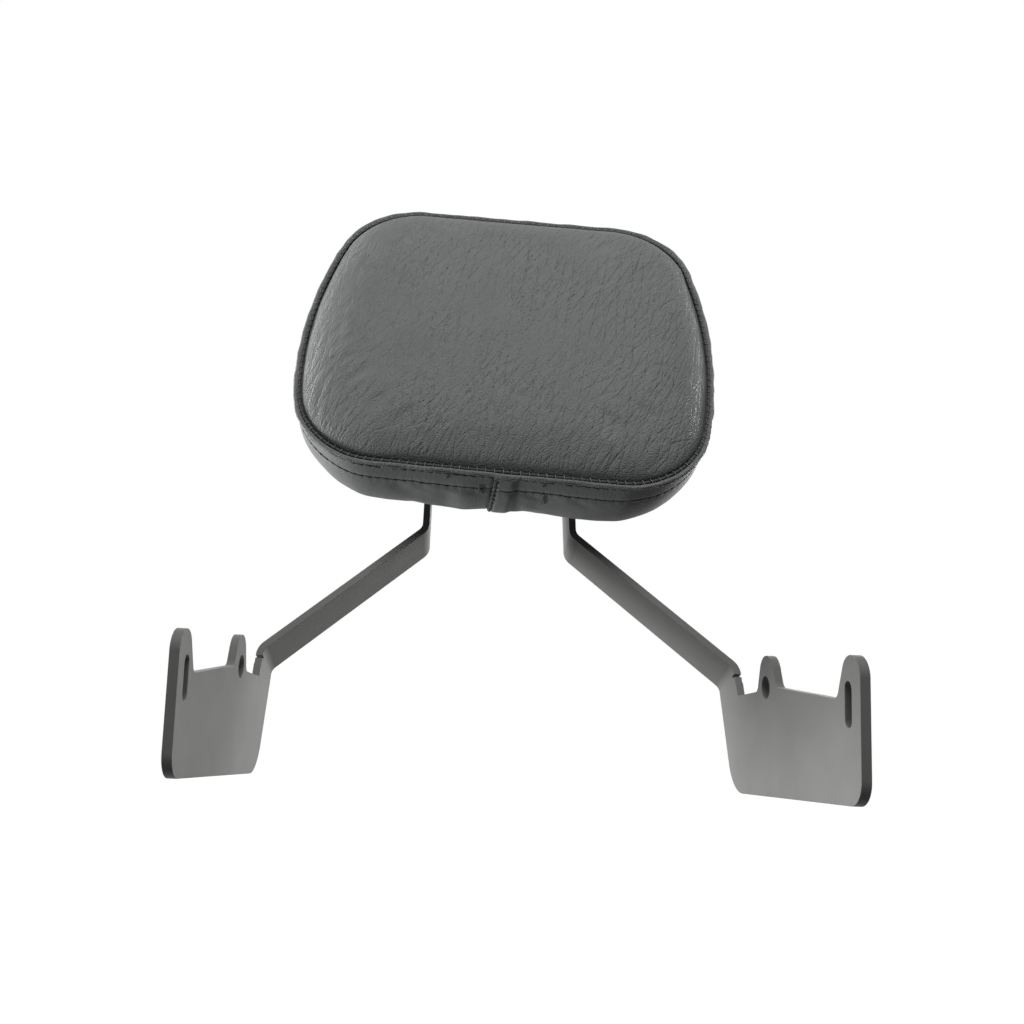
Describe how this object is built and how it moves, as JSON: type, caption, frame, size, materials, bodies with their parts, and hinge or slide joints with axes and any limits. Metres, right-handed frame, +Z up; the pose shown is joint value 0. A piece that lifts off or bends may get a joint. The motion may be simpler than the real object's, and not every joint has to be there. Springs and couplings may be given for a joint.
{
  "type": "sissy bar",
  "caption": "Motorbike sissy bar: bent flat-steel side brackets with ears for the fender bolts, joined by a plate that carries an upholstered back pad.",
  "frame": {"origin": "on the common axis of the two round mounting holes, midway between the side plates", "axes": "+X from the left plate to the right plate as seen from behind the seat looking forward; in the picture it points to the right. +Y rearwards, +Z up"},
  "size_m": [0.26, 0.2495, 0.3616],
  "materials": {
    "powder_coat": "satin black powder coat with a fine texture",
    "cover": "black synthetic leather with a fine pebble grain, satin",
    "foam": "open-cell polyurethane foam",
    "base_plastic": "moulded black plastic",
    "zinc_steel": "bright zinc plating"
  },
  "bodies": {
    "root": {"left_bracket": "powder_coat", "right_bracket": "powder_coat", "pad_plate": "powder_coat", "left_weld_beads": "powder_coat", "right_weld_beads": "powder_coat", "pad_base": "base_plastic", "foam_core": "foam", "front_panel": "cover", "side_band": "cover", "seam_lip": "cover", "upper_right_bolt": "zinc_steel", "upper_left_bolt": "zinc_steel", "lower_left_bolt": "zinc_steel", "lower_right_bolt": "zinc_steel", "upper_right_washer": "zinc_steel", "upper_left_washer": "zinc_steel", "lower_left_washer": "zinc_steel", "lower_right_washer": "zinc_steel", "upper_right_spring_washer": "zinc_steel", "upper_left_spring_washer": "zinc_steel", "lower_left_spring_washer": "zinc_steel", "lower_right_spring_washer": "zinc_steel", "upper_right_tee_nut": "zinc_steel", "upper_left_tee_nut": "zinc_steel", "lower_left_tee_nut": "zinc_steel", "lower_right_tee_nut": "zinc_steel"}
  },
  "joints": []
}
